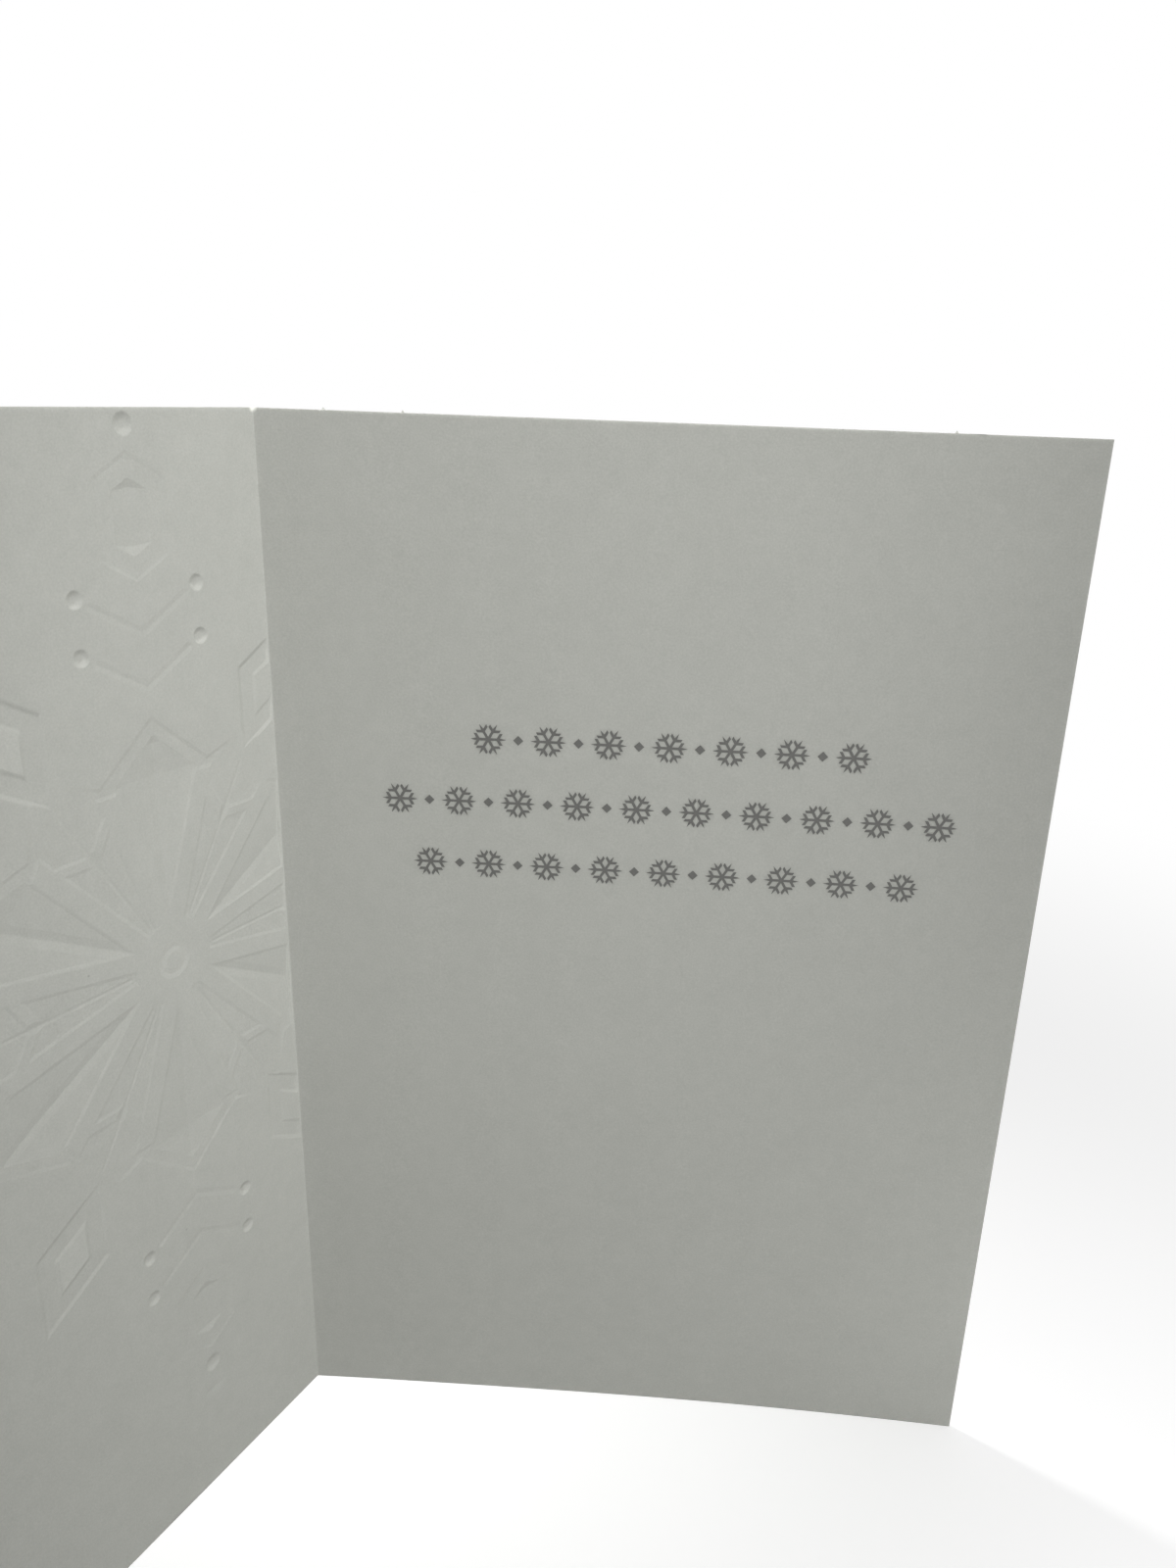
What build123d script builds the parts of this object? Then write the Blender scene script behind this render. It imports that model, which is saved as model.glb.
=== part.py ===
from build123d import *
import math
import os

# A greeting card: one sheet of card stock, scored and folded once, standing open on its foot edges.
# A large snow crystal is embossed in the front panel: sunk seen from inside, raised seen from outside.
# Three torn stubs stand on the top edge.
# X runs from the fold along the back panel, Z up the fold, and the front panel comes forward, to -Y.
# The origin is at the foot of the fold, in the middle of the stock. All sizes are in millimetres.

# The sheet
panel_width = 120.65         # from the fold to a free edge
panel_height = 177.8         # from the foot to the top edge
stock = 0.4                  # thickness of the card
crease_radius = 0.25         # inside of the pressed fold
opening_angle = 116.9        # between the two panels
back_bow = 4.9               # how far the back panel's free edge curls forward

# Torn stubs on the back panel's top edge, left by the ties that held the sheet when it was cut
tie_inset = 21.4             # of one stub from the fold, and of another from the free edge
fold_tie_inset = 10.0        # of the third, from the fold
stub_width = 0.9
stub_height = 0.35
stub_thickness = 0.2

# The embossing
crystal_from_fold = 23.05    # middle of the snow crystal, across the front panel
crystal_from_foot = 100.1    # and up it
arm_count = 6
first_arm_angle = 30.5       # of an arm, up from the line across the panel
relief_to_edge = 0.15        # plain strip kept along the foot, the top and the free edge
relief_to_fold = 0.35        # plain strip kept beside the fold
relief_fade = 0.6            # over this width a cut-off shape runs out to nothing
line_spacing = 0.5           # least flat between two neighbouring shapes
bite = 0.2                   # how far a shape reaches into the stock that carries it

# The ground: the sunk field behind the petals, which ends in a collar round their tips
ground_depth = 0.08
ground_wall = 0.5            # width of the slope at its edge
collar_offset = 1.7          # from the petal's tip
ground_to_diamond = 1.6      # from the ground's corners, which lie in the moats, to the diamonds
hub_radius = 6.4             # the plain disc in the middle
rim_width = 2.6              # the plain strip along each petal
rim_end = 27.5
bridge_at = 22.6             # the plain bar that crosses the ground between two petals
bridge_half_width = 0.55

# The ring in the middle
ring_outer_radius = 2.9
ring_inner_radius = 1.3
ring_depth = 0.1
ring_facets = 20

# A petal on each arm: a long kite that deepens to its shoulders, with a finer fold along its middle
petal_root = 7.2
petal_shoulder = 28.8
petal_half_width = 7.3
petal_tip = 35.1
petal_crest_depth = 0.4
vein_half_width = 1.2
vein_depth = 0.1             # below the petal round it
wall_width = 0.5             # of the slope round a petal or a bar
wall_depth = 0.1

# Pressed lines, each a shallow V
spine_half_width = 0.85
spine_depth = 0.14
branch_half_width = 0.7
branch_depth = 0.065

# Two branches on each arm, with a bead at each end
branch_forks = (41.4, 48.9)
branch_reach = 8.3           # from the arm to the end of a branch
branch_angle = 60.0          # between a branch and the arm
bead_radius = 1.2
bead_depth = 0.32
bead_facets = 12
bead_out = 9.75              # from the arm to a bead's middle

# The bar in its shallow bed, the last bead and the small lozenge that end each arm
bar_start = 58.6
bar_end = 69.5
bar_half_width = 3.0
bar_point = 1.7              # length of its pointed ends
bar_crest_depth = 0.32
bed_margin = 2.6             # round the bar
bed_depth = 0.06
end_bead_at = 75.7
end_bead_radius = 1.5
lozenge_at = 81.0
lozenge_half_length = 1.9
lozenge_half_width = 2.8
lozenge_depth = 0.14

# Between two arms: a spine from the hub outwards, and a diamond that a moat sets off
spine_start = 6.6
diamond_at = 43.8
diamond_half_width = 2.3
moat_width = 3.4
moat_wall = 0.55
moat_depth = 0.18

arm_turn = 360 / arm_count


# Flat geometry, as (x, y) points
def turned(point, degrees):
    angle = math.radians(degrees)
    x, y = point
    return (x * math.cos(angle) - y * math.sin(angle), x * math.sin(angle) + y * math.cos(angle))


def mirrored(points):
    return [(x, -y) for x, y in points]


def unit(start, end):
    length = math.dist(start, end)
    return ((end[0] - start[0]) / length, (end[1] - start[1]) / length)


def beyond(start, end, distance):
    """The point past the end of a line, or short of it where the distance is negative."""
    along = unit(start, end)
    return (end[0] + along[0] * distance, end[1] + along[1] * distance)


def crossing(a, b, c, d):
    """Where the line through a and b meets the line through c and d."""
    ab = (b[0] - a[0], b[1] - a[1])
    cd = (d[0] - c[0], d[1] - c[1])
    span = ab[0] * cd[1] - ab[1] * cd[0]
    share = ((c[0] - a[0]) * cd[1] - (c[1] - a[1]) * cd[0]) / span
    return (a[0] + ab[0] * share, a[1] + ab[1] * share)


def corner_shift(before, corner, after, distance):
    """A corner moved to the left of its two lines, so that both lines shift by the distance."""
    into = unit(before, corner)
    out = unit(corner, after)
    spread = 1 + into[0] * out[0] + into[1] * out[1]
    shift_x = -(into[1] + out[1]) * distance / spread
    shift_y = (into[0] + out[0]) * distance / spread
    return (corner[0] + shift_x, corner[1] + shift_y)


def shifted_loop(loop, distance):
    """A closed outline moved to the left of its direction: inwards where it runs anticlockwise."""
    count = len(loop)
    return [
        corner_shift(loop[i - 1], loop[i], loop[(i + 1) % count], distance)
        for i in range(count)
    ]


def shifted_path(path, distance):
    """The inner corners of an open path, moved to its left."""
    return [
        corner_shift(path[i - 1], path[i], path[i + 1], distance)
        for i in range(1, len(path) - 1)
    ]


# Pressed shapes. The panel's inner face is the level 0, and a shape sinks to a positive level.
def at_level(points, level):
    return [(x, y, level) for x, y in points]


def facet(points):
    """One flat face. Points that repeat are taken once, and a face with no area gives None."""
    corners = [p for i, p in enumerate(points) if math.dist(p, points[i - 1]) > 1e-6]
    if len(corners) < 3:
        return None
    return Face(Wire.make_polygon(corners, close=True))


def pressed(loops, closed_ring=False, flat_floor=False):
    """A solid whose skin runs from loop to loop, all with the same number of points."""
    count = len(loops[0])
    pairs = list(zip(loops, loops[1:]))
    if closed_ring:
        pairs.append((loops[-1], loops[0]))
    faces = [
        facet([outer[i - 1], outer[i], inner[i], inner[i - 1]])
        for outer, inner in pairs
        for i in range(count)
    ]
    if not closed_ring:
        faces.append(facet(loops[0]))
    if flat_floor:
        faces.append(facet(loops[-1]))
    return Solid(Shell([face for face in faces if face is not None]))


def from_surface(outline):
    """The outline a bite above the panel's face, and on it."""
    return [at_level(outline, -bite), at_level(outline, 0)]


def pressed_line(path, half_width, depth):
    """A V line along a path, pointed at both ends."""
    first = beyond(path[1], path[0], -half_width)
    last = beyond(path[-2], path[-1], -half_width)
    run = [first] + path[1:-1] + [last]

    def side(distance):
        start = corner_shift(path[0], first, run[1], distance)
        end = corner_shift(run[-2], last, path[-1], distance)
        return [start] + shifted_path(run, distance) + [end]

    outline = [path[0]] + side(-half_width) + [path[-1]] + side(half_width)[::-1]
    crest = [first] + run + [last] + run[::-1]
    return pressed(from_surface(outline) + [at_level(crest, depth)])


def pressed_field(outline, depth, wall):
    """A flat-floored field with a sloping wall round it."""
    floor = at_level(shifted_loop(outline, wall), depth)
    return pressed(from_surface(outline) + [floor], flat_floor=True)


def pressed_crest(outline, crest, depth):
    """A short slope round an outline, then facets that fall to a crest along its middle."""
    foot_of_wall = at_level(shifted_loop(outline, wall_width), wall_depth)
    return pressed(from_surface(outline) + [foot_of_wall, at_level(crest, depth)])


def kept(outline, depth, wall):
    """What stays at the level of the panel inside a sunk field: it widens as it goes down."""
    foot = shifted_loop(outline, -wall)
    rings = [at_level(outline, -bite - stock), at_level(outline, 0)]
    rings += [at_level(foot, depth), at_level(foot, depth + stock)]
    return pressed(rings, flat_floor=True)


def circle_points(radius, count):
    return [turned((radius, 0), i * 360 / count) for i in range(count)]


def pressed_bead(radius, depth):
    """A round dimple with a rounded bottom, in three rings of facets."""
    rings = from_surface(circle_points(radius, bead_facets))
    for share in (0.72, 0.4):
        ring = circle_points(radius * share, bead_facets)
        rings.append(at_level(ring, depth * math.sqrt(1 - share ** 2)))
    rings.append(at_level([(0, 0)] * bead_facets, depth))
    return pressed(rings)


def pressed_ring():
    """The ring in the middle of the crystal."""
    outer = circle_points(ring_outer_radius, ring_facets)
    middle = circle_points((ring_outer_radius + ring_inner_radius) / 2, ring_facets)
    inner = circle_points(ring_inner_radius, ring_facets)
    rings = from_surface(outer) + [at_level(middle, ring_depth)] + from_surface(inner)[::-1]
    return pressed(rings, closed_ring=True)


def placed(shape, x, y=0.0):
    return Pos(x, y, 0) * shape


# The shapes on one arm, which points along X. Its neighbours lie one arm turn to each side.
def petal_outline():
    return [
        (petal_root, 0),
        (petal_shoulder, -petal_half_width),
        (petal_tip, 0),
        (petal_shoulder, petal_half_width),
    ]


def petal():
    crest = [(petal_shoulder, 0)] * len(petal_outline())
    return pressed_crest(petal_outline(), crest, petal_crest_depth)


def vein():
    """The finer fold along a petal. Its edges lie on the petal's four facets."""
    root, lower, tip, upper = shifted_loop(petal_outline(), wall_width)
    across = ((0, -vein_half_width), (1, -vein_half_width))
    near = crossing(root, lower, *across)
    middle = crossing(lower, (petal_shoulder, 0), *across)
    far = crossing(lower, tip, *across)
    fall = petal_crest_depth - wall_depth
    middle_level = petal_crest_depth - fall * vein_half_width / -lower[1]
    near_level = wall_depth + fall * (near[0] - root[0]) / (petal_shoulder - root[0])
    far_level = wall_depth + fall * (tip[0] - far[0]) / (tip[0] - petal_shoulder)
    side = [(*near, wall_depth), (*middle, middle_level), (*far, wall_depth)]
    edge = [(*root, wall_depth)] + side + [(*tip, wall_depth)]
    edge += [(x, -y, level) for x, y, level in side[::-1]]
    start = (near[0], 0, near_level + vein_depth)
    deepest = (petal_shoulder, 0, petal_crest_depth + vein_depth)
    end = (far[0], 0, far_level + vein_depth)
    crest = [start, start, deepest, end, end, end, deepest, start]
    top = at_level([(x, y) for x, y, level in edge], -bite)
    return pressed([top, edge, crest])


def branch_pair(fork):
    rise = branch_reach / math.tan(math.radians(branch_angle))
    path = [(fork + rise, branch_reach), (fork, 0), (fork + rise, -branch_reach)]
    return pressed_line(path, branch_half_width, branch_depth)


def branch_beads(fork):
    along = fork + bead_out / math.tan(math.radians(branch_angle))
    bead = pressed_bead(bead_radius, bead_depth)
    return [placed(bead, along, side * bead_out) for side in (1, -1)]


def bar_outline():
    lower = [(bar_start + bar_point, -bar_half_width), (bar_end - bar_point, -bar_half_width)]
    return [(bar_start, 0)] + lower + [(bar_end, 0)] + mirrored(lower[::-1])


def bar():
    near = (bar_start + bar_point, 0)
    far = (bar_end - bar_point, 0)
    return pressed_crest(bar_outline(), [near, near, far, far, far, near], bar_crest_depth)


def bar_bed():
    return pressed_field(shifted_loop(bar_outline(), -bed_margin), bed_depth, wall_width)


def lozenge():
    ends = [(lozenge_at - lozenge_half_length, 0), (lozenge_at + lozenge_half_length, 0)]
    sides = [(lozenge_at, -lozenge_half_width), (lozenge_at, lozenge_half_width)]
    outline = [ends[0], sides[0], ends[1], sides[1]]
    return pressed(from_surface(outline) + [at_level([(lozenge_at, 0)] * len(outline), lozenge_depth)])


def arm_shapes():
    shapes = [petal(), vein(), bar(), bar_bed(), lozenge()]
    shapes.append(placed(pressed_bead(end_bead_radius, bead_depth), end_bead_at))
    for fork in branch_forks:
        shapes.append(branch_pair(fork))
        shapes += branch_beads(fork)
    return shapes


# The shapes between two arms, along X again: the arms then lie half an arm turn to each side
def diamond(half_width):
    """A diamond with two sides along each neighbouring arm."""
    half_turn = math.radians(arm_turn / 2)
    reach = half_width / math.sin(half_turn)
    spread = half_width / math.cos(half_turn)
    return [(diamond_at - reach, 0), (diamond_at, -spread), (diamond_at + reach, 0), (diamond_at, spread)]


def diamond_moat():
    """A flat-floored moat round a diamond that stays at the level of the panel."""
    outer = diamond(diamond_half_width + moat_width)
    inner = diamond(diamond_half_width)
    floor_outer = at_level(shifted_loop(outer, moat_wall), moat_depth)
    floor_inner = at_level(shifted_loop(inner, -moat_wall), moat_depth)
    rings = from_surface(outer) + [floor_outer, floor_inner] + from_surface(inner)[::-1]
    return pressed(rings, closed_ring=True)


def spine():
    """A line from the hub to just short of the moat."""
    moat_corner = diamond(diamond_half_width + moat_width)[0][0]
    end = moat_corner - line_spacing
    return pressed_line([(spine_start, 0), (end, 0)], spine_half_width, spine_depth)


def gap_shapes():
    return [diamond_moat(), spine()]


# The ground, one field round the whole crystal
def ground_outline():
    """Round each petal's tip, then out to the moats, where it meets the next arm's part."""
    point, shoulder = shifted_loop(petal_outline(), -collar_offset)[2:]
    corner = turned((diamond(diamond_half_width)[0][0] - ground_to_diamond, 0), arm_turn / 2)
    arm = mirrored([shoulder]) + [point, shoulder, corner]
    return [turned(p, i * arm_turn) for i in range(arm_count) for p in arm]


def rim():
    """The plain strips along a petal's two sides, in one outline that the petal is then pressed into."""
    side = shifted_loop(petal_outline(), -rim_width)[:2]
    near = crossing(*side, (hub_radius, 0), (hub_radius, 1))
    far = crossing(*side, (rim_end, 0), (rim_end, 1))
    return [near, far] + mirrored([far, near])


def bridge():
    """The plain bar between two petals. It points inwards, and its ends run into the two rims."""
    rise = petal_half_width / math.tan(math.radians(branch_angle))
    step = bridge_half_width / math.sin(math.radians(branch_angle))
    near = [(bridge_at + rise - step, petal_half_width), (bridge_at - step, 0)]
    far = [(bridge_at + rise + step, petal_half_width), (bridge_at + step, 0)]
    return mirrored([near[0], far[0]]) + [far[1], far[0], near[0], near[1]]


def ground():
    field = pressed_field(ground_outline(), ground_depth, ground_wall)
    plain = [circle_points(hub_radius, ring_facets)]
    for i in range(arm_count):
        plain.append([turned(p, i * arm_turn) for p in rim()])
        plain.append([turned(p, (i + 0.5) * arm_turn) for p in bridge()])
    return field - [kept(outline, ground_depth, ground_wall) for outline in plain]


# The whole crystal, flat, trimmed to the panel
def panel_field():
    """The part of the panel that takes embossing. Its sides slope, so that what they cut fades out."""
    left, right = relief_to_fold, panel_width - relief_to_edge
    low, high = relief_to_edge, panel_height - relief_to_edge
    edge = [(left, low), (right, low), (right, high), (left, high)]
    rings = from_surface(edge) + [at_level(shifted_loop(edge, relief_fade), relief_fade)]
    return pressed(rings, flat_floor=True)


def crystal():
    middle = Pos(crystal_from_fold, crystal_from_foot, 0)
    shapes = [middle * Rot(Z=first_arm_angle) * ground(), middle * pressed_ring()]
    for i in range(arm_count):
        angle = first_arm_angle + i * arm_turn
        shapes += [middle * Rot(Z=angle) * shape for shape in arm_shapes()]
        shapes += [middle * Rot(Z=angle + arm_turn / 2) * shape for shape in gap_shapes()]
    field = panel_field()
    trimmed = [shape & field for shape in shapes]
    return [solid for shape in trimmed if shape is not None for solid in shape.solids()]


# The folded sheet, from its plan
bend_angle = 180 - opening_angle
bend_radius = crease_radius + stock / 2
bend_length = math.radians(bend_angle) * bend_radius
bend_reach = bend_radius * math.tan(math.radians(bend_angle / 2))
leg_length = panel_width - bend_length / 2
bow_radius = (leg_length ** 2 + back_bow ** 2) / (2 * back_bow)
bow_angle = math.degrees(leg_length / bow_radius)
front_heading = turned((1, 0), -opening_angle)
outward = turned((0, 1), bend_angle)
bend_centre = (bend_reach, -bend_radius)
bow_centre = (bend_reach, -bow_radius)


def front_point(along, level):
    """A point on the front leg's plan: along it from the bend, at a level from its inner face."""
    lift = crease_radius + level
    x = bend_centre[0] + outward[0] * lift + front_heading[0] * along
    y = bend_centre[1] + outward[1] * lift + front_heading[1] * along
    return (x, y)


def plan_edges(level):
    """The fold and both legs at one level of the stock: the front's line, the bend, the back's bow."""
    bow = bow_radius - stock / 2 + level
    return [
        Line(front_point(leg_length, level), front_point(0, level)),
        CenterArc(bend_centre, crease_radius + level, 90, bend_angle),
        CenterArc(bow_centre, bow, 90 - bow_angle, bow_angle),
    ]


def folded_sheet():
    inner = plan_edges(0)
    outer = plan_edges(stock)
    front_end = Line(inner[0] @ 0, outer[0] @ 0)
    back_end = Line(inner[2] @ 0, outer[2] @ 0)
    plan = make_face(inner + [back_end] + outer + [front_end])
    return extrude(plan, amount=panel_height, dir=(0, 0, 1))


def tie_stub(along):
    """A small torn triangle that stands on the top edge, at a distance along the back panel."""
    turn = math.radians(90) - along / bow_radius
    heading = (math.sin(turn), -math.cos(turn), 0)
    x = bow_centre[0] + bow_radius * math.cos(turn)
    y = bow_centre[1] + bow_radius * math.sin(turn)
    upright = Plane(origin=(x, y, panel_height), x_dir=heading, z_dir=(-math.cos(turn), -math.sin(turn), 0))
    outline = [(-stub_width / 2, -bite), (stub_width / 2, -bite), (0, stub_height)]
    triangle = Face(Wire.make_polygon(at_level(outline, 0), close=True))
    return upright * extrude(triangle, amount=stub_thickness / 2, both=True)


def card():
    fold_line = front_point(-bend_length / 2, 0)
    inner_face = Plane(origin=(*fold_line, 0), x_dir=(*front_heading, 0), z_dir=(*outward, 0))
    relief = crystal()
    raised = [inner_face * Pos(0, 0, stock) * shape for shape in relief]
    sunk = [inner_face * shape for shape in relief]
    stubs = [tie_stub(along) for along in (fold_tie_inset, tie_inset, panel_width - tie_inset)]
    return folded_sheet() + stubs + raised - sunk


os.makedirs("parts", exist_ok=True)
whole = card()
print("card:", len(whole.solids()), "solid,", len(whole.faces()), "faces,", round(whole.volume), "mm3")
export_step(whole.solid(), "parts/card.step")
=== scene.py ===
# %% [markdown]
# A greeting card stands open on its foot edges. It is one sheet of card stock, scored and folded once,
# with a large snow crystal embossed in its front panel. The construction model holds that folded sheet
# at its real size. We load it first, because every piece below sits in the same frame: metres, with Z
# up along the fold.

# %% Load the construction model
import math

import bmesh
import bpy
from mathutils import Matrix, Vector
from mathutils.bvhtree import BVHTree
from mathutils.kdtree import KDTree


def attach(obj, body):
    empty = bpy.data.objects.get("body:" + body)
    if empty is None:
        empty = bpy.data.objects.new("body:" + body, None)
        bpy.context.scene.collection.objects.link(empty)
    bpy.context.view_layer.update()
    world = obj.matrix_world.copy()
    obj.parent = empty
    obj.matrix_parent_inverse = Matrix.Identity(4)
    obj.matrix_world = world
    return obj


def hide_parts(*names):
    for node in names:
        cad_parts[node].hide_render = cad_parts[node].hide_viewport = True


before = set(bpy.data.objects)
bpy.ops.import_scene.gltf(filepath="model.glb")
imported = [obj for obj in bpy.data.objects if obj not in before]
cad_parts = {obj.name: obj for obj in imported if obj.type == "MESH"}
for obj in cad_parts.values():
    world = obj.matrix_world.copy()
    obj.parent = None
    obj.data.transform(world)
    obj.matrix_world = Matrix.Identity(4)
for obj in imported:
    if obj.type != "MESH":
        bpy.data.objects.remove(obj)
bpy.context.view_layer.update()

# %% [markdown]
# The card's own directions make the rest easy to place. The front panel is flat and comes forward from the
# fold, towards -Y and -X. The back panel runs along X on a long shallow arc, because the stock has curled.
# We keep the few sizes that settle these surfaces, and two functions that give a point on either panel.

# %% The sheet's sizes and its two panels
MM = 0.001
panel_width = 120.65 * MM
panel_height = 177.8 * MM
stock = 0.4 * MM
crease_radius = 0.25 * MM
opening = math.radians(116.9)
back_bow = 4.9 * MM

bend = math.pi - opening
bend_radius = crease_radius + stock / 2
bend_reach = bend_radius * math.tan(bend / 2)
leg_length = panel_width - bend_radius * bend / 2
bow_radius = (leg_length ** 2 + back_bow ** 2) / (2 * back_bow)
front_heading = Vector((math.cos(opening), -math.sin(opening), 0))
outward = Vector((-math.sin(bend), math.cos(bend), 0))
bend_centre = Vector((bend_reach, -bend_radius, 0))
bow_centre = Vector((bend_reach, -bow_radius, 0))
front_origin = bend_centre + outward * crease_radius - front_heading * bend_radius * bend / 2


def front_point(along, up, level=0.0):
    """On the front panel: along from the fold, up from the foot, at a level outwards from its inner face."""
    return front_origin + front_heading * along + outward * level + Vector((0, 0, up))


def back_point(along, up, level=0.0):
    """The same on the back panel, whose inner face is an arc."""
    turn = along / bow_radius
    reach = bow_radius - stock / 2 + level
    return bow_centre + Vector((reach * math.sin(turn), reach * math.cos(turn), up))


top_corner = back_point(leg_length, panel_height)
print("bow radius", round(bow_radius / MM), "mm, top corner of the back panel", top_corner)

# %% [markdown]
# The camera stands where the photographer's stood: at the height of the card's top edge, about 17 cm away,
# looking down a little. The lens is wide, so the near corner of the front panel runs out of the picture.
# Its place, turns and lens were found from the card's own straight edges, which is how a matchmoved camera
# is made. We build the turn from three plain angles, so that each can be read and changed. The same edges
# put the lens's axis a little to the right of the picture's middle, and the camera's shift does the same.

# %% Camera
PICTURE_HEIGHT = 1600
focal_pixels = 1169
side_shift_pixels = 33.7
camera_place = Vector((56.71, -170.58, 182.31)) * MM
camera_heading = math.radians(-0.7286)
camera_dip = math.radians(19.105)
camera_roll = math.radians(2.0532)


def camera_turn(heading, dip, roll):
    """The rotation of a camera that looks along a heading from +Y, tipped down, then rolled."""
    level_right = Vector((math.cos(heading), -math.sin(heading), 0))
    level_forward = Vector((math.sin(heading), math.cos(heading), 0))
    forward = level_forward * math.cos(dip) - Vector((0, 0, math.sin(dip)))
    level_up = level_right.cross(forward)
    right = level_right * math.cos(roll) + level_up * math.sin(roll)
    up = level_up * math.cos(roll) - level_right * math.sin(roll)
    return Matrix((right, up, -forward)).transposed().to_4x4()


camera_data = bpy.data.cameras.new("camera")
camera_data.sensor_fit = "VERTICAL"
camera_data.sensor_height = 36
camera_data.lens = camera_data.sensor_height * focal_pixels / PICTURE_HEIGHT
camera_data.shift_x = -side_shift_pixels / PICTURE_HEIGHT
camera_data.clip_start = 0.01
camera = bpy.data.objects.new("camera", camera_data)
turned = camera_turn(camera_heading, camera_dip, camera_roll)
camera.matrix_world = Matrix.Translation(camera_place) @ turned
bpy.context.scene.collection.objects.link(camera)
bpy.context.scene.camera = camera
print("lens", round(camera_data.lens, 2), "mm")

# %% [markdown]
# A card reads best in soft light from above, because every pressed line then shows a paler lower wall. One
# spot stands high in front and one lower and further out. Both are soft at the rim, so their light thins
# out towards the card's foot, as a window's does. A weak lamp at table height evens out the free edge, and
# one behind the card shows its outside to whoever walks round it. The rest is a fill from all round: the
# world is white where the camera looks past the card, and a plain grey for the light that it sends, so the
# paper keeps its own tone.

# %% Light
FILL = 0.605


def add_lamp(lamp, watts, place, aim):
    """Puts a lamp in the scene, turned towards a point. The camera sees only its light."""
    lamp.energy = watts
    holder = bpy.data.objects.new(lamp.name, lamp)
    holder.location = place
    holder.rotation_euler = (Vector(aim) - Vector(place)).to_track_quat("-Z", "Y").to_euler()
    holder.visible_camera = False
    bpy.context.scene.collection.objects.link(holder)


def add_spot(name, watts, width, place, aim):
    """A spot whose light fades all the way from its middle to its rim."""
    spot = bpy.data.lights.new(name, "SPOT")
    spot.spot_size = math.radians(width)
    spot.spot_blend = 1
    spot.shadow_soft_size = 0.04
    add_lamp(spot, watts, place, aim)


add_spot("high_lamp", 8.4, 28, (0.2, -0.15, 0.6), (0.03, 0, 0.15))
add_spot("front_lamp", 1.55, 32, (0.3, -0.3, 0.3), (0.03, 0, 0.15))
low_lamp = bpy.data.lights.new("low_lamp", "AREA")
low_lamp.shape = "SQUARE"
low_lamp.size = 0.08
add_lamp(low_lamp, 0.075, (0.15, -0.1, 0.01), (0.1, 0, 0.05))
add_spot("back_lamp", 6.5, 45, (-0.35, 0.3, 0.4), (-0.01, -0.03, 0.08))

world = bpy.data.worlds.new("studio")
bpy.context.scene.world = world
world.use_nodes = True
nodes = world.node_tree.nodes
links = world.node_tree.links
nodes.clear()
output = nodes.new("ShaderNodeOutputWorld")
choose = nodes.new("ShaderNodeMixShader")
fill = nodes.new("ShaderNodeBackground")
seen = nodes.new("ShaderNodeBackground")
path = nodes.new("ShaderNodeLightPath")
fill.inputs["Color"].default_value = (1, 1, 1, 1)
fill.inputs["Strength"].default_value = FILL
seen.inputs["Color"].default_value = (1, 1, 1, 1)
seen.inputs["Strength"].default_value = 1


def any_of(nodes, links, sockets):
    """One value that is 1 where any of the sockets is 1."""
    total = sockets[0]
    for socket in sockets[1:]:
        either = nodes.new("ShaderNodeMath")
        either.operation = "MAXIMUM"
        links.new(total, either.inputs[0])
        links.new(socket, either.inputs[1])
        total = either.outputs[0]
    return total


ray_names = ("Is Camera Ray", "Is Glossy Ray", "Is Transmission Ray")
links.new(any_of(nodes, links, [path.outputs[name] for name in ray_names]), choose.inputs["Fac"])
links.new(fill.outputs[0], choose.inputs[1])
links.new(seen.outputs[0], choose.inputs[2])
links.new(choose.outputs[0], output.inputs["Surface"])
print("fill", FILL, "and four lamps")

# %% [markdown]
# The card stands on a plain pale table. We want it white to the eye, with the card's soft shadow on it, and
# without a strong glow from below on the paper. So the camera sees a white surface that takes light and
# shadow, other rays meet a darker grey, and far from the card the table turns to plain white.

# %% Table
TABLE_SIZE = 6.0
SHADOW_REACH = 0.45
SHADOW_CORE = 0.18
SEEN_TONE = 0.7
SEEN_GLOW = 0.43
UNSEEN_TONE = 0.5
table_mesh = bpy.data.meshes.new("table")
bm = bmesh.new()
bmesh.ops.create_grid(bm, x_segments=1, y_segments=1, size=TABLE_SIZE / 2)
bm.to_mesh(table_mesh)
bm.free()
table = bpy.data.objects.new("table", table_mesh)
bpy.context.scene.collection.objects.link(table)

table_finish = bpy.data.materials.new("table_white")
table_finish.use_nodes = True
nodes = table_finish.node_tree.nodes
links = table_finish.node_tree.links
nodes.clear()
output = nodes.new("ShaderNodeOutputMaterial")
path = nodes.new("ShaderNodeLightPath")
place = nodes.new("ShaderNodeTexCoord")
distance = nodes.new("ShaderNodeVectorMath")
distance.operation = "LENGTH"
far = nodes.new("ShaderNodeMapRange")
far.interpolation_type = "SMOOTHSTEP"
far.inputs["From Min"].default_value = SHADOW_CORE
far.inputs["From Max"].default_value = SHADOW_REACH
white = nodes.new("ShaderNodeBsdfDiffuse")
white.inputs["Color"].default_value = (SEEN_TONE, SEEN_TONE, SEEN_TONE, 1)
glow = nodes.new("ShaderNodeEmission")
glow.inputs["Strength"].default_value = SEEN_GLOW
near_white = nodes.new("ShaderNodeAddShader")
plain_white = nodes.new("ShaderNodeEmission")
plain_white.inputs["Strength"].default_value = 1
dark = nodes.new("ShaderNodeBsdfDiffuse")
dark.inputs["Color"].default_value = (UNSEEN_TONE, UNSEEN_TONE, UNSEEN_TONE, 1)
by_distance = nodes.new("ShaderNodeMixShader")
by_ray = nodes.new("ShaderNodeMixShader")
links.new(place.outputs["Object"], distance.inputs[0])
links.new(distance.outputs["Value"], far.inputs["Value"])
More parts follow.
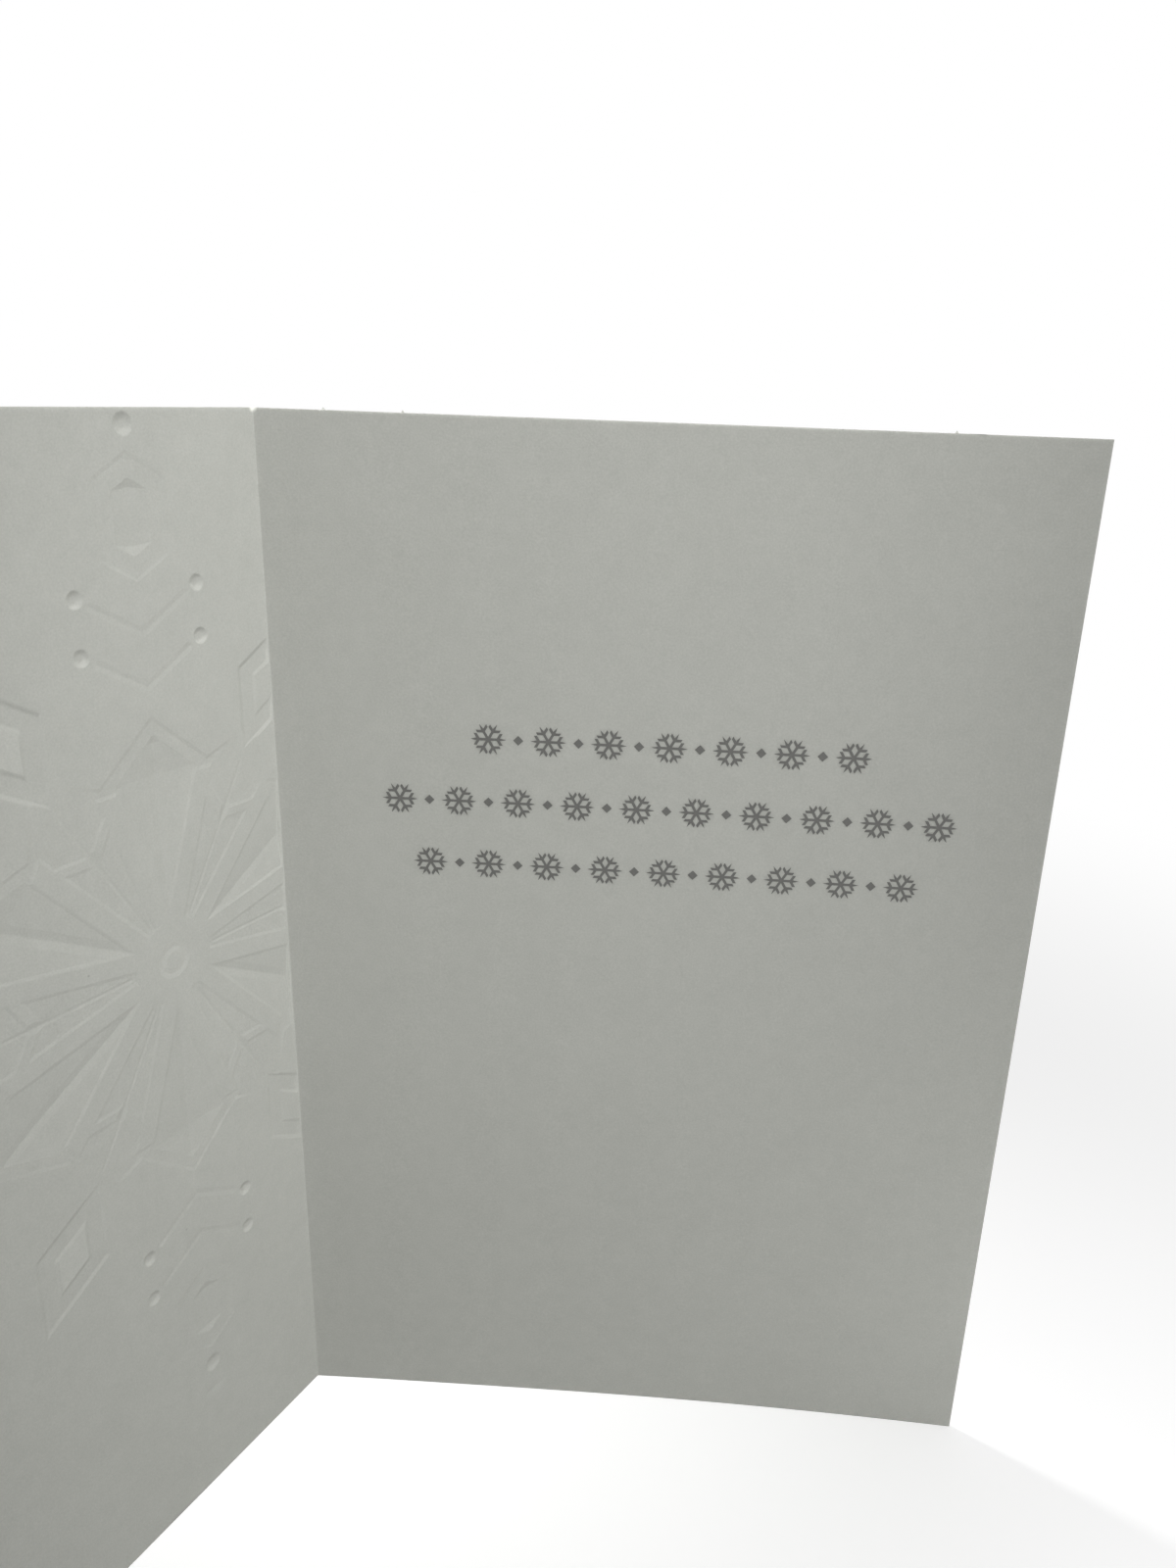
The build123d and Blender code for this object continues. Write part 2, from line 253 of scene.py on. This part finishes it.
links.new(white.outputs[0], near_white.inputs[0])
links.new(glow.outputs[0], near_white.inputs[1])
links.new(far.outputs["Result"], by_distance.inputs["Fac"])
links.new(near_white.outputs[0], by_distance.inputs[1])
links.new(plain_white.outputs[0], by_distance.inputs[2])
links.new(any_of(nodes, links, [path.outputs[name] for name in ray_names]), by_ray.inputs["Fac"])
links.new(dark.outputs[0], by_ray.inputs[1])
links.new(by_distance.outputs[0], by_ray.inputs[2])
links.new(by_ray.outputs[0], output.inputs["Surface"])
table_mesh.materials.append(table_finish)

# %% [markdown]
# The construction model's mesh is loose triangles. To round its pressed edges we first need a clean
# surface, so we copy it, weld the points, and dissolve the edges that lie inside a flat facet. A few
# facets are far narrower than a pressed edge is round, and they are welded too, or the rounding
# would fold over them.

# %% Clean copy of the folded sheet
WELD = 0.001 * MM
FINEST_EDGE = 0.05 * MM
FLAT_ANGLE = math.radians(0.15)
LEVEL_SLOPE = 0.9


def between_level_faces(edge):
    """True inside the sheet's top and foot edges, whose long thin facets stay as they are."""
    return all(abs(face.normal.z) > LEVEL_SLOPE for face in edge.link_faces)


bm = bmesh.new()
bm.from_mesh(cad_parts["card"].data)
bmesh.ops.remove_doubles(bm, verts=bm.verts, dist=WELD)
inner_edges = [edge for edge in bm.edges if not between_level_faces(edge)]
bmesh.ops.dissolve_limit(bm, angle_limit=FLAT_ANGLE, verts=bm.verts, edges=inner_edges)
bmesh.ops.remove_doubles(bm, verts=bm.verts, dist=FINEST_EDGE)
print("clean sheet:", len(bm.verts), "points,", len(bm.faces), "facets")

# %% [markdown]
# The back panel is one smooth curve, but the construction model has it in a few long flats. We cut it into
# a grid with bisect_plane and set each point back on its arc. The same step lets the paper breathe: stock
# that has been handled is never quite even, so the panel leans forward of its arc here and there, by up to
# a quarter of a millimetre.

# %% Curve of the back panel
GRID = 4.5 * MM
SWELL = 0.24 * MM
SWELL_START = 30 * MM
WAVE_PEAK = 1.6
SNAP = 0.03 * MM


def back_swell(along, up):
    """How far the back panel leans forward of its plain arc, in metres."""
    held = min(1.0, along / SWELL_START)
    wave = math.sin(along / (19 * MM) + up / (31 * MM))
    wave += (WAVE_PEAK - 1) * math.sin(up / (23 * MM) - along / (47 * MM))
    return SWELL * held * held * (3 - 2 * held) * (WAVE_PEAK + wave) / (2 * WAVE_PEAK)


def on_back_panel(element):
    return all(vert.co.x > bend_reach - WELD for vert in element.verts)


def cut_back_panel(bm, normal, span):
    count = math.ceil(span / GRID)
    for i in range(1, count):
        faces = [face for face in bm.faces if on_back_panel(face)]
        edges = dict.fromkeys(edge for face in faces for edge in face.edges)
        verts = dict.fromkeys(vert for face in faces for vert in face.verts)
        start = Vector((bend_reach, 0, 0)) + normal * (span * i / count)
        cut_through = [*faces, *edges, *verts]
        bmesh.ops.bisect_plane(bm, geom=cut_through, dist=WELD, plane_co=start, plane_no=normal)


cut_back_panel(bm, Vector((1, 0, 0)), leg_length)
cut_back_panel(bm, Vector((0, 0, 1)), panel_height)
for vert in bm.verts:
    if vert.co.x > bend_reach + WELD:
        arm = vert.co - bow_centre
        along = math.atan2(arm.x, arm.y) * bow_radius
        level = math.hypot(arm.x, arm.y) - (bow_radius - stock / 2)
        nearest = min((0, stock), key=lambda plain: abs(plain - level))
        if abs(nearest - level) < SNAP:
            level = nearest
        vert.co = back_point(along, vert.co.z, level - back_swell(along, vert.co.z))
print("with its curve:", len(bm.verts), "points,", len(bm.faces), "facets")

# %% [markdown]
# A die presses paper with rounded edges, never with sharp ones, so every pressed edge gets a fine
# bevel. Where edges crowd together, a full bevel would fold over its neighbour. So we measure the room
# beside each edge first, with a search tree of points along all the edges, and write it into the mesh
# as a bevel weight.

# %% Room beside each edge
PRESSED_ROUND = 0.2 * MM
SEEK = 2.2 * PRESSED_ROUND
SAMPLE_STEP = 0.1 * MM
LEAST_TURN = 0.8
CORNER_SHARE = 1.87


def edge_samples(edges):
    """Points along each edge, with the edge that each belongs to."""
    samples = []
    for edge in edges:
        start, end = (vert.co for vert in edge.verts)
        count = max(1, int((end - start).length / SAMPLE_STEP))
        samples += [(start.lerp(end, i / count), edge) for i in range(count + 1)]
    return samples


def room_beside(edges):
    """For each edge, the distance to the nearest edge that it doesn't share a point with, up to SEEK."""
    samples = edge_samples(edges)
    tree = KDTree(len(samples))
    for i, (place, edge) in enumerate(samples):
        tree.insert(place, i)
    tree.balance()
    room = dict.fromkeys(edges, SEEK)
    for place, edge in samples:
        for _, i, distance in tree.find_range(place, SEEK):
            other = samples[i][1]
            if distance < room[edge] and not any(vert in edge.verts for vert in other.verts):
                room[edge] = distance
    return room


def room_in_corners(room, edges):
    """Where two edges meet at a narrow angle, their bevels run far along both before they part."""
    for edge in edges:
        for vert in edge.verts:
            for other in vert.link_edges:
                if other is edge or other not in edges:
                    continue
                ways = [e.other_vert(vert).co - vert.co for e in (edge, other)]
                shorter = min(way.length for way in ways)
                corner_room = CORNER_SHARE * shorter * math.tan(ways[0].angle(ways[1]) / 2)
                room[edge] = min(room[edge], corner_room)


bm.normal_update()
bevel_weight = bm.edges.layers.float.new("bevel_weight_edge")
shared = [edge for edge in bm.edges if len(edge.link_faces) == 2]
turns = {edge: math.degrees(edge.calc_face_angle(0)) for edge in shared}
angled = [edge for edge in shared if turns[edge] > LEAST_TURN]
room = room_beside(angled)
print(len(angled), "angled edges, least room", round(min(room.values()) / MM, 3), "mm")

# %% [markdown]
# The angle between two facets tells what an edge is. Near a right angle it is a cut edge of the
# sheet, which stays crisp. From ten degrees it is a pressed edge, and is rounded as far as its room
# allows. A flatter one stays a plain crease. The beads' own facets are tiny, and smooth shading
# alone makes them round.

# %% Which edges are rounded
CUT_ROUND = 0.03 * MM
CREASE_TURN = 10
CUT_TURN = 80
TINY_FACET = 0.4 * MM * MM
LEAST_SHARE = 0.4
ROOM_SHARE = 0.45
FOLD_REACH = 1 * MM
FOLD_SIDE = -0.01 * MM


def in_the_fold(edge):
    """True for the arc of the fold, which smooth shading alone makes round."""
    return all(vert.co.x > FOLD_SIDE and vert.co.y > -FOLD_REACH for vert in edge.verts)


pressed_edges = {edge for edge in angled if turns[edge] >= CREASE_TURN}
room_in_corners(room, pressed_edges)
counts = {"cut": 0, "pressed": 0, "crease": 0, "smooth": 0}
for edge in angled:
    share = min(1.0, room[edge] * ROOM_SHARE / PRESSED_ROUND)
    if turns[edge] > CUT_TURN:
        kind = "cut"
        edge[bevel_weight] = CUT_ROUND / PRESSED_ROUND
    elif in_the_fold(edge):
        kind = "smooth"
    elif turns[edge] < CREASE_TURN or share < LEAST_SHARE:
        kind = "crease"
        edge.smooth = False
    elif max(face.calc_area() for face in edge.link_faces) < TINY_FACET:
        kind = "smooth"
    else:
        kind = "pressed"
        edge[bevel_weight] = share
    counts[kind] += 1
print("edges:", counts)

# %% [markdown]
# A die leaves more than one finish. The sunk ground between the petals comes out with a fine
# stipple, while the diamonds and the ring in the middle are pressed flat and smooth. Their colour is
# made a little paler, a painted sheen for the light that their smooth faces catch. We find these facets
# by where they lie on the panel, and mark them in two attributes, which the paper's material reads later.

# %% Stippled facets, and facets with a painted sheen
crystal_middle = Vector((23.05, 100.1)) * MM
first_arm = math.radians(30.5)
diamond_distance = 43.8 * MM
diamond_reach = 2.4 * MM
diamond_area = 25 * MM * MM
ring_inside, ring_outside = 1.3 * MM, 2.9 * MM
ground_level = 0.08 * MM
LOOKS_IN = -0.7
LIES_FLAT = -0.999

stippled = bm.faces.layers.float.new("stippled")
painted_sheen = bm.faces.layers.float.new("painted_sheen")
diamond_middles = []
for i in range(6):
    turn = first_arm + math.radians(60) * (i + 0.5)
    diamond_middles.append(crystal_middle + Vector((math.cos(turn), math.sin(turn))) * diamond_distance)
bm.normal_update()
for face in bm.faces:
    if face.normal.dot(outward) > LOOKS_IN:
        continue
    middle = face.calc_center_median()
    arm = middle - front_origin
    on_panel = Vector((arm.dot(front_heading), middle.z))
    flat = face.normal.dot(outward) < LIES_FLAT
    from_diamond = min((on_panel - point).length for point in diamond_middles)
    if flat and face.calc_area() < diamond_area and from_diamond < diamond_reach:
        face[painted_sheen] = 1
    elif ring_inside < (on_panel - crystal_middle).length < ring_outside:
        face[painted_sheen] = 0.5
    elif flat and abs(arm.dot(outward) - ground_level) < 0.3 * ground_level:
        face[stippled] = 1
print("stippled facets:", sum(face[stippled] > 0 for face in bm.faces))
print("burnished facets:", sum(face[painted_sheen] > 0 for face in bm.faces))

# %% [markdown]
# Now the sheet becomes an object. A Bevel modifier reads the weights. Smooth shading with weighted
# normals then keeps the wide facets flat, and the narrow bevels carry the whole turn. The new piece
# stands for the construction model's card.

# %% The card as an object
card_mesh = bpy.data.meshes.new("folded_sheet")
bm.to_mesh(card_mesh)
plain_surface = BVHTree.FromBMesh(bm)
bm.free()
card_mesh.polygons.foreach_set("use_smooth", [True] * len(card_mesh.polygons))
card_sheet = bpy.data.objects.new("folded_sheet", card_mesh)
bpy.context.scene.collection.objects.link(card_sheet)
rounded = card_sheet.modifiers.new("rounded_edges", "BEVEL")
rounded.limit_method = "WEIGHT"
rounded.width = PRESSED_ROUND
rounded.segments = 3
rounded.use_clamp_overlap = False
weighted = card_sheet.modifiers.new("flat_facets", "WEIGHTED_NORMAL")
weighted.keep_sharp = True
weighted.weight = 80
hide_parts("card")
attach(card_sheet, "root")
print("plain sheet:", len(card_mesh.polygons), "facets, before rounding")

# %% [markdown]
# Where many edges run together at a narrow angle, a bevel can make the outline of a neighbouring facet
# cross itself, and such a facet is then filled in wrongly. We look for crossed outlines, turn the edges
# near a crossing back into plain creases, and repeat it until none is left. At last we measure how far
# any triangle lies off the sheet as it was before. A bevel takes a few hundredths of a millimetre off an
# edge, so much more than that would be a fault. On the long thin faces of the cut edges, the
# nearest-point search on our own mesh can read a tenth of a millimetre too far, so we ask the
# construction model too and take the nearer of the two.

# %% Check of the rounding
LEAST_CORNERS = 6
FAULT_REACH = 0.5 * MM
TRIES = 8


def side_of(start, end, point):
    """Above 0 where a flat point lies left of the line from start to end, and below 0 on its right."""
    return (end - start).cross(point - start)


def apart(a, b, c, d):
    """True where the boxes round the flat lines a-b and c-d don't touch."""
    return any(max(a[i], b[i]) < min(c[i], d[i]) or min(a[i], b[i]) > max(c[i], d[i]) for i in (0, 1))


def crossings(mesh):
    """Corners of the outline edges that cross another edge of the same facet."""
    found = []
    for facet in mesh.polygons:
        n = len(facet.vertices)
        if n < LEAST_CORNERS:
            continue
        along = facet.normal.orthogonal().normalized()
        across = facet.normal.cross(along)
        places = [mesh.vertices[i].co for i in facet.vertices]
        flat = [Vector((place.dot(along), place.dot(across))) for place in places]
        for i in range(n):
            a, b = flat[i], flat[(i + 1) % n]
            for j in range(i + 2, n if i else n - 1):
                c, d = flat[j], flat[(j + 1) % n]
                if apart(a, b, c, d) or side_of(a, b, c) * side_of(a, b, d) >= 0:
                    continue
                if side_of(c, d, a) * side_of(c, d, b) < 0:
                    found += [places[k % n].copy() for k in (i, i + 1, j, j + 1)]
    return found


def as_rounded():
    """The sheet's mesh with its modifiers applied."""
    return card_sheet.evaluated_get(bpy.context.evaluated_depsgraph_get()).to_mesh()


weights = card_mesh.attributes["bevel_weight_edge"].data
for attempt in range(TRIES):
    corners = crossings(as_rounded())
    print("crossed outlines:", len(corners) // 4)
    if not corners:
        break
    tree = KDTree(len(corners))
    for i, corner in enumerate(corners):
        tree.insert(corner, i)
    tree.balance()
    for edge in card_mesh.edges:
        ends = [card_mesh.vertices[i].co for i in edge.vertices]
        at_fault = any(tree.find(end)[2] < FAULT_REACH for end in ends)
        if weights[edge.index].value > 0 and at_fault:
            weights[edge.index].value = 0
            edge.use_edge_sharp = True
    card_mesh.update()

model_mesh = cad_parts["card"].data
model_corners = [vert.co for vert in model_mesh.vertices]
model_surface = BVHTree.FromPolygons(model_corners, [tuple(face.vertices) for face in model_mesh.polygons])


def off_the_sheet(place):
    """The distance from a point to the plain sheet or to the construction model, whichever is nearer."""
    return min(surface.find_nearest(place)[3] for surface in (plain_surface, model_surface))


rounded_sheet = as_rounded()
rounded_sheet.calc_loop_triangles()
middles = [sum((rounded_sheet.vertices[i].co for i in triangle.vertices), Vector()) / 3
           for triangle in rounded_sheet.loop_triangles]
furthest = max(off_the_sheet(middle) for middle in middles)
print("folded sheet:", len(middles), "triangles, at most", round(furthest / MM, 3), "mm off the plain sheet")

# %% [markdown]
# Uncoated stock is matt and pale grey here, and never one flat colour. Light and dark fibres mottle it over
# a few millimetres, and a fine felt grain catches the light. Both come from noise on Object coordinates, so
# the grain runs through the sheet and stays put on it. Light also sinks into paper and spreads a little
# before it comes out, which is why embossing never looks hard, so the shader gets subsurface scattering.

# %% Paper
SPOT_CORE = 0.4


def linear(value):
    """One channel as an image program gives it, 0 to 255, in the linear value that Blender takes."""
    share = value / 255
    return share / 12.92 if share <= 0.04045 else ((share + 0.055) / 1.055) ** 2.4


def srgb(red, green, blue):
    return linear(red), linear(green), linear(blue)


paper_colour = srgb(172, 173, 167)


def noise(nodes, links, vector, size, detail=2.0, roughness=0.5):
    """Noise whose blotches are about the given size across, in metres."""
    texture = nodes.new("ShaderNodeTexNoise")
    texture.inputs["Scale"].default_value = 1 / size
    texture.inputs["Detail"].default_value = detail
    texture.inputs["Roughness"].default_value = roughness
    links.new(vector, texture.inputs["Vector"])
    return texture.outputs["Fac"]


def ranged(nodes, links, value, low, high):
    """A value from 0 to 1 spread between two others."""
    spread = nodes.new("ShaderNodeMapRange")
    spread.inputs["To Min"].default_value = low
    spread.inputs["To Max"].default_value = high
    links.new(value, spread.inputs["Value"])
    return spread.outputs["Result"]


def product(nodes, links, values):
    """All the values multiplied together."""
    total = values[0]
    for value in values[1:]:
        times = nodes.new("ShaderNodeMath")
        times.operation = "MULTIPLY"
        links.new(total, times.inputs[0])
        links.new(value, times.inputs[1])
        total = times.outputs[0]
    return total


def mark(nodes, name):
    """An attribute of the mesh, from 0 to 1."""
    attribute = nodes.new("ShaderNodeAttribute")
    attribute.attribute_name = name
    return attribute.outputs["Fac"]


def near(nodes, links, place, middle, reach):
    """1 at a point of the piece, falling to 0 at a distance from it."""
    away = nodes.new("ShaderNodeVectorMath")
    away.operation = "DISTANCE"
    away.inputs[1].default_value = middle
    links.new(place, away.inputs[0])
    falloff = nodes.new("ShaderNodeMapRange")
    falloff.inputs["From Min"].default_value = reach
    falloff.inputs["From Max"].default_value = SPOT_CORE * reach
    links.new(away.outputs["Value"], falloff.inputs["Value"])
    return falloff.outputs["Result"]


def bumped(nodes, links, height, depth, normal=None):
    """A normal tilted by a height from 0 to 1 that stands for a depth in metres."""
    bump = nodes.new("ShaderNodeBump")
    bump.inputs["Strength"].default_value = 1
    bump.inputs["Distance"].default_value = depth
    links.new(height, bump.inputs["Height"])
    if normal is not None:
        links.new(normal, bump.inputs["Normal"])
    return bump.outputs["Normal"]


paper = bpy.data.materials.new("card_stock")
paper.use_nodes = True
nodes = paper.node_tree.nodes
links = paper.node_tree.links
shader = nodes["Principled BSDF"]
shader.inputs["Roughness"].default_value = 0.85
shader.inputs["Specular IOR Level"].default_value = 0.3
shader.subsurface_method = "BURLEY"
shader.inputs["Subsurface Weight"].default_value = 1
shader.inputs["Subsurface Radius"].default_value = (1, 1, 1)
shader.inputs["Subsurface Scale"].default_value = 0.5 * MM
place = nodes.new("ShaderNodeTexCoord").outputs["Object"]
mottle = ranged(nodes, links, noise(nodes, links, place, 9 * MM, 3), 0.97, 1.03)
cloud = ranged(nodes, links, noise(nodes, links, place, 2.2 * MM, 2), 0.955, 1.045)
fibre = ranged(nodes, links, noise(nodes, links, place, 0.28 * MM, 2, 0.6), 0.86, 1.14)
# Painted sheen: the pressed diamonds and the ring are made up to 6.5 percent paler.
painted_sheen_tone = ranged(nodes, links, mark(nodes, "painted_sheen"), 1, 1.065)
tones = [mottle, cloud, fibre, painted_sheen_tone]
felt = noise(nodes, links, place, 0.5 * MM, 3, 0.6)
felt_normal = bumped(nodes, links, felt, 0.02 * MM)
grain = ranged(nodes, links, noise(nodes, links, place, 0.55 * MM, 1), -0.5, 0.5)
stipple = product(nodes, links, [grain, mark(nodes, "stippled")])
links.new(bumped(nodes, links, stipple, 0.06 * MM, felt_normal), shader.inputs["Normal"])
card_mesh.materials.append(paper)
print("paper colour, linear:", [round(x, 3) for x in paper_colour])

# %% [markdown]
# Real stock has its accidents: a few dark specks pressed in with the pulp, and at the top of the fold
# a pale spot, partly the bare fibres where it has cracked a little and partly a painted highlight where
# the fold's top catches the light. Each is a small spot round a point on the sheet, so it multiplies the
# paper's tone near that point. We look up the points on the mesh, because the embossing moves its surface.

# %% Specks, and the cracked fold with its painted highlight
out_of_the_fold = (outward + Vector((0, 1, 0))).normalized()
fold_top = bend_centre + out_of_the_fold * crease_radius + Vector((0, 0, panel_height))
spots = [
    (back_point(98.37 * MM, 88.18 * MM), 0.26 * MM, 0.6),
    (front_point(37.19 * MM, 103.97 * MM), 0.26 * MM, 0.75),
    (front_point(26.05 * MM, 53.53 * MM), 0.3 * MM, 0.85),
    # The top of the fold: its cracked fibres and a painted highlight, 1.8 times the paper's tone.
    (fold_top, 0.75 * MM, 1.8),
]
for point, reach, tone in spots:
    _, middle, _, _ = card_sheet.closest_point_on_mesh(point)
    tones.append(ranged(nodes, links, near(nodes, links, place, middle, reach), 1, tone))
tint = nodes.new("ShaderNodeVectorMath")
tint.operation = "SCALE"
tint.inputs[0].default_value = paper_colour
links.new(product(nodes, links, tones), tint.inputs["Scale"])
links.new(tint.outputs["Vector"], shader.inputs["Base Color"])
print(len(spots), "spots on the paper")

# %% [markdown]
# Inside the back panel, three centred rows of small winter ornaments are printed in dark grey ink. Ink lies
# on paper as a film, so each ornament is a flat shape a few hundredths of a millimetre proud of the sheet,
# bent to its curve. One crystal starts as a six-sided hub. Each side of the hub is drawn out into an arm,
# and short pieces of the arm's sides are drawn out into branches.

# %% One printed crystal
STROKE = 0.42 * MM
ink_film = 0.02 * MM


def drawn_out(bm, edge, shift):
    """Extrudes one edge by a shift. Returns the new edge and the face between the two."""
    made = bmesh.ops.extrude_edge_only(bm, edges=[edge])["geom"]
    verts = [item for item in made if isinstance(item, bmesh.types.BMVert)]
    bmesh.ops.translate(bm, verts=verts, vec=shift)
    face = next(item for item in made if isinstance(item, bmesh.types.BMFace))
    far_edge = next(item for item in face.edges if set(item.verts) == set(verts))
    return far_edge, face


def middle_of(edge):
    return (edge.verts[0].co + edge.verts[1].co) / 2


def runs_along(edge, way):
    return abs((edge.verts[1].co - edge.verts[0].co).normalized().dot(way)) > 0.9


def pointed(bm, edge, way, length):
    """Draws an edge out to a point."""
    far_edge, _ = drawn_out(bm, edge, way * length)
    bmesh.ops.pointmerge(bm, verts=list(far_edge.verts), merge_co=middle_of(far_edge))


def crystal_shape(radius, fork, branch):
    """A flat snow crystal in the XY plane, with two branches on each arm at a distance from its middle."""
    bm = bmesh.new()
    bmesh.ops.create_circle(bm, cap_ends=True, segments=6, radius=STROKE)
    hub_reach = STROKE * math.cos(math.radians(30))
    fork_length = STROKE / math.sin(math.radians(60))
    for edge in list(bm.edges):
        way = middle_of(edge).normalized()
        edge, _ = drawn_out(bm, edge, way * (fork - hub_reach))
        edge, joint = drawn_out(bm, edge, way * fork_length)
        sides = [side for side in joint.edges if not side.link_faces[1:] and runs_along(side, way)]
        middle = joint.calc_center_median()
        for side in sides:
            across = (middle_of(side) - middle).normalized()
            lean = way * math.cos(math.radians(60)) + across * math.sin(math.radians(60))
            drawn_out(bm, side, lean * branch)
        pointed(bm, edge, way, radius - fork - fork_length)
    return bm


print("a crystal's stroke is", round(STROKE / MM, 2), "mm wide")

# %% [markdown]
# A row alternates large crystals with small diamonds, and each row is centred on the panel. The shapes are
# flat at first. Each one is copied to its place along the row, given the ink's thickness, and then every
# point is set on the panel's curve.

# %% Three printed rows
row_middle = 61.6 * MM
crystal_pitch = 9.4 * MM
row_heights = (129.9 * MM, 119.5 * MM, 108.9 * MM)
row_counts = (7, 10, 9)
crystal_reach = 2.8 * MM
crystal_fork = 1.35 * MM
crystal_branch = 0.85 * MM
small_diamond_reach = 0.8 * MM


def diamond_shape(reach):
    bm = bmesh.new()
    bmesh.ops.create_circle(bm, cap_ends=True, segments=4, radius=reach)
    return bm


def add_to_print(total, shape, along, up, turn):
    """Copies a flat shape into the print, with its middle at a place on the unrolled panel."""
    part = bpy.data.meshes.new("ornament")
    bmesh.ops.rotate(shape, verts=shape.verts, matrix=Matrix.Rotation(turn, 3, "Z"))
    bmesh.ops.translate(shape, verts=shape.verts, vec=(along, up, 0))
    shape.to_mesh(part)
    shape.free()
    total.from_mesh(part)
    bpy.data.meshes.remove(part)


ink_print = bmesh.new()
for up, count in zip(row_heights, row_counts):
    for i in range(count):
        along = row_middle + (i - (count - 1) / 2) * crystal_pitch
        crystal = crystal_shape(crystal_reach, crystal_fork, crystal_branch)
        add_to_print(ink_print, crystal, along, up, 0)
        if i < count - 1:
            diamond = diamond_shape(small_diamond_reach)
            add_to_print(ink_print, diamond, along + crystal_pitch / 2, up, 0)
flat_shapes = list(ink_print.faces)
made = bmesh.ops.extrude_face_region(ink_print, geom=flat_shapes, use_keep_orig=True)["geom"]
raised = [item for item in made if isinstance(item, bmesh.types.BMVert)]
bmesh.ops.translate(ink_print, verts=raised, vec=(0, 0, ink_film * 2))
bmesh.ops.recalc_face_normals(ink_print, faces=ink_print.faces)
for vert in ink_print.verts:
    along, up, proud = vert.co
    vert.co = back_point(along, up, ink_film - proud - back_swell(along, up))
bmesh.ops.recalc_face_normals(ink_print, faces=ink_print.faces)
ink_mesh = bpy.data.meshes.new("printed_ornaments")
ink_print.to_mesh(ink_mesh)
print("print:", len(ink_print.faces), "faces")
ink_print.free()
ink_rows = bpy.data.objects.new("printed_ornaments", ink_mesh)
bpy.context.scene.collection.objects.link(ink_rows)
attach(ink_rows, "root")

# %% [markdown]
# The ink is a neutral dark grey. It sinks into uncoated stock unevenly, so its tone varies over a few
# tenths of a millimetre, and it has hardly more gloss than the paper.

# %% Ink
ink = bpy.data.materials.new("grey_ink")
ink.use_nodes = True
nodes = ink.node_tree.nodes
links = ink.node_tree.links
shader = nodes["Principled BSDF"]
shader.inputs["Roughness"].default_value = 0.7
ink_colour = srgb(100, 100, 97)
place = nodes.new("ShaderNodeTexCoord").outputs["Object"]
uneven = ranged(nodes, links, noise(nodes, links, place, 0.3 * MM, 2), 0.85, 1.15)
tint = nodes.new("ShaderNodeVectorMath")
tint.operation = "SCALE"
tint.inputs[0].default_value = ink_colour
links.new(uneven, tint.inputs["Scale"])
links.new(tint.outputs["Vector"], shader.inputs["Base Color"])
ink_mesh.materials.append(ink)
print("ink colour, linear:", [round(x, 3) for x in ink_colour])

# %% [markdown]
# The colours were chosen as they leave the screen, so the picture is shown with the plain
# Standard transform.

# %% Standard view transform, and the end
bpy.context.scene.view_settings.view_transform = "Standard"
